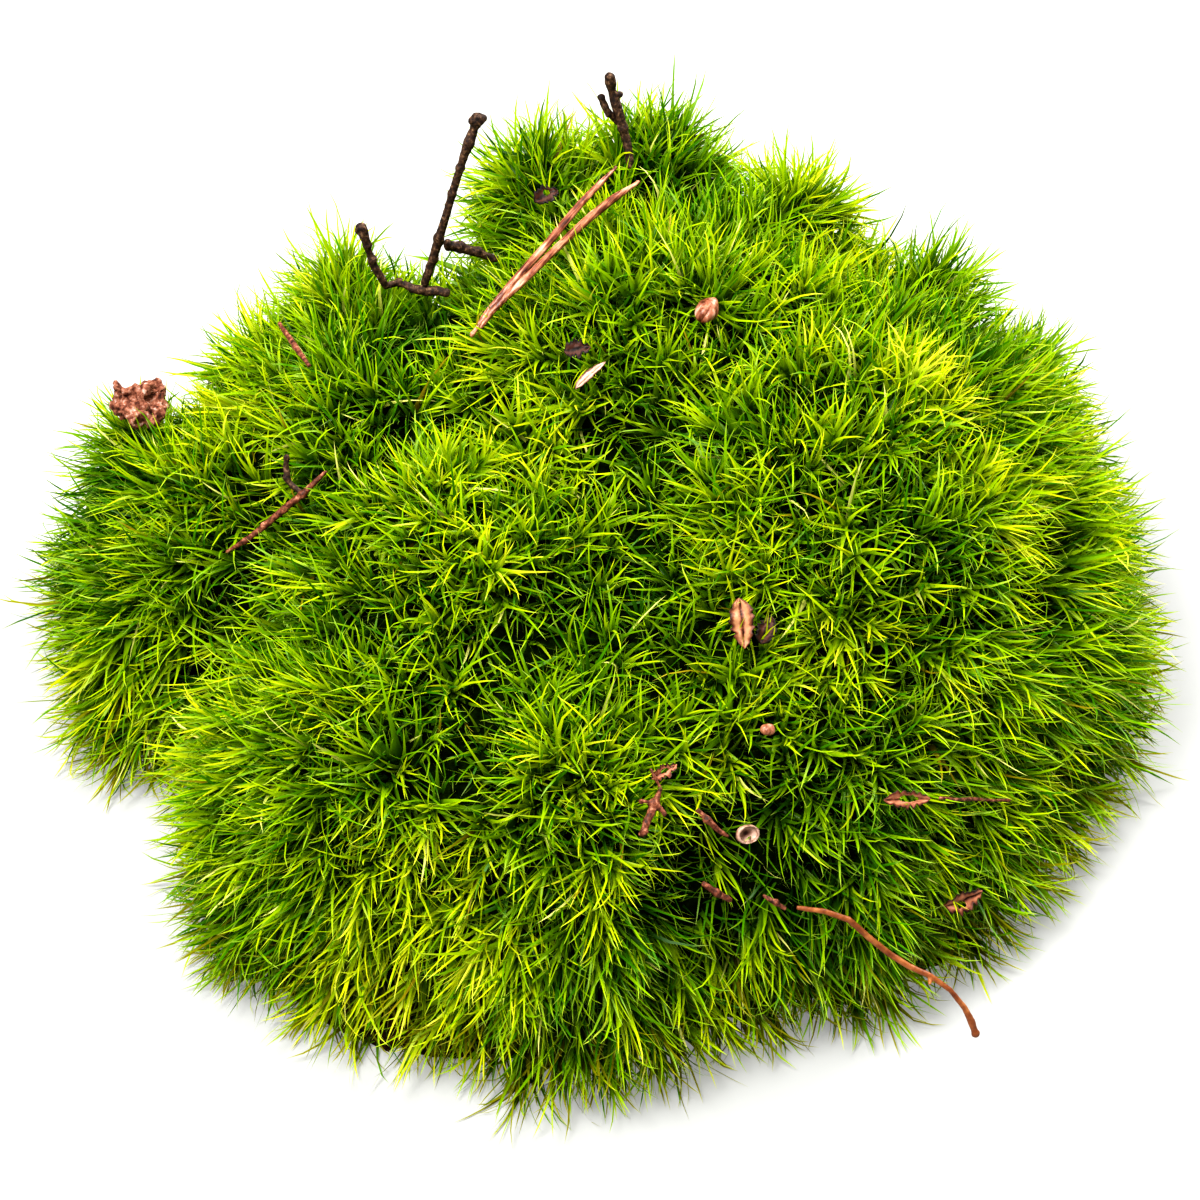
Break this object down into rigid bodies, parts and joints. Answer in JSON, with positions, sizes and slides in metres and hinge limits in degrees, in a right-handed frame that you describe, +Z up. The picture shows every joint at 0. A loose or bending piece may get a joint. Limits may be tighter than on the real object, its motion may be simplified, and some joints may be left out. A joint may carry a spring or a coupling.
{
  "type": "moss clump",
  "caption": "Clump of living cushion moss on a flat-cut mat of humus, with dead twigs, pine needles, a bark flake, buds and leaf scraps lying in it.",
  "frame": {"origin": "on the flat cut under the humus mat, near the middle of the clump's outline", "axes": "+Z up from the cut, -Y towards the low front of the cushion, +Y towards its high crest, +X towards its big round lobe"},
  "size_m": [0.1948, 0.1783, 0.0883],
  "materials": {
    "moss": "living moss: soft, slightly glossy yellow-green leaves, dark green between the tufts",
    "humus": "crumbly moist humus and brown rhizoid felt, matt",
    "dark_twig": "dead twig with dark, scaly, nearly black-brown bark, matt",
    "brown_twig": "thin dead stalks, red-brown, satin",
    "pine_needle": "dry pine needles, tan to red-brown, satin, grooved along",
    "straw_strand": "dry strand, straw to orange-brown, satin",
    "dead_leaf": "dry brown leaf, papery, paler along its veins",
    "dark_leaf": "rotted dark brown leaf, papery",
    "pale_leaf": "bleached leaf, cream to pinkish, papery",
    "bark": "flaky red-brown bark, pitted, matt",
    "bud": "brown bud scales, satin"
  },
  "bodies": {
    "root": {"bark_flake": "bark", "broken_stem": "brown_twig", "bud_scale": "bud", "creeping_twig": "dark_twig", "crest_leaf_scrap": "dark_leaf", "crest_twig": "dark_twig", "crest_twig_spur": "dark_twig", "curled_leaf_scrap": "dark_leaf", "dark_leaf_scrap": "dark_leaf", "folded_leaf_scrap": "dead_leaf", "forked_twiglet": "brown_twig", "humus_mat": "humus", "left_pine_needle": "pine_needle", "long_strand": "straw_strand", "moss_cushion": "moss", "pale_leaf_scrap": "pale_leaf", "right_pine_needle": "pine_needle", "rim_leaf_scrap": "dead_leaf", "round_leaf_scrap": "pale_leaf", "scrap_stalk": "brown_twig", "short_twig": "dark_twig", "side_twig": "brown_twig", "skeleton_leaf": "dead_leaf", "skeleton_leaf_stalk": "brown_twig", "small_bud": "bud", "stem_leaf_scrap": "dead_leaf", "strand_end": "straw_strand", "strand_middle": "brown_twig", "tall_twig": "dark_twig", "twig_stub": "dark_twig", "twiglet_spur": "brown_twig"}
  },
  "joints": []
}
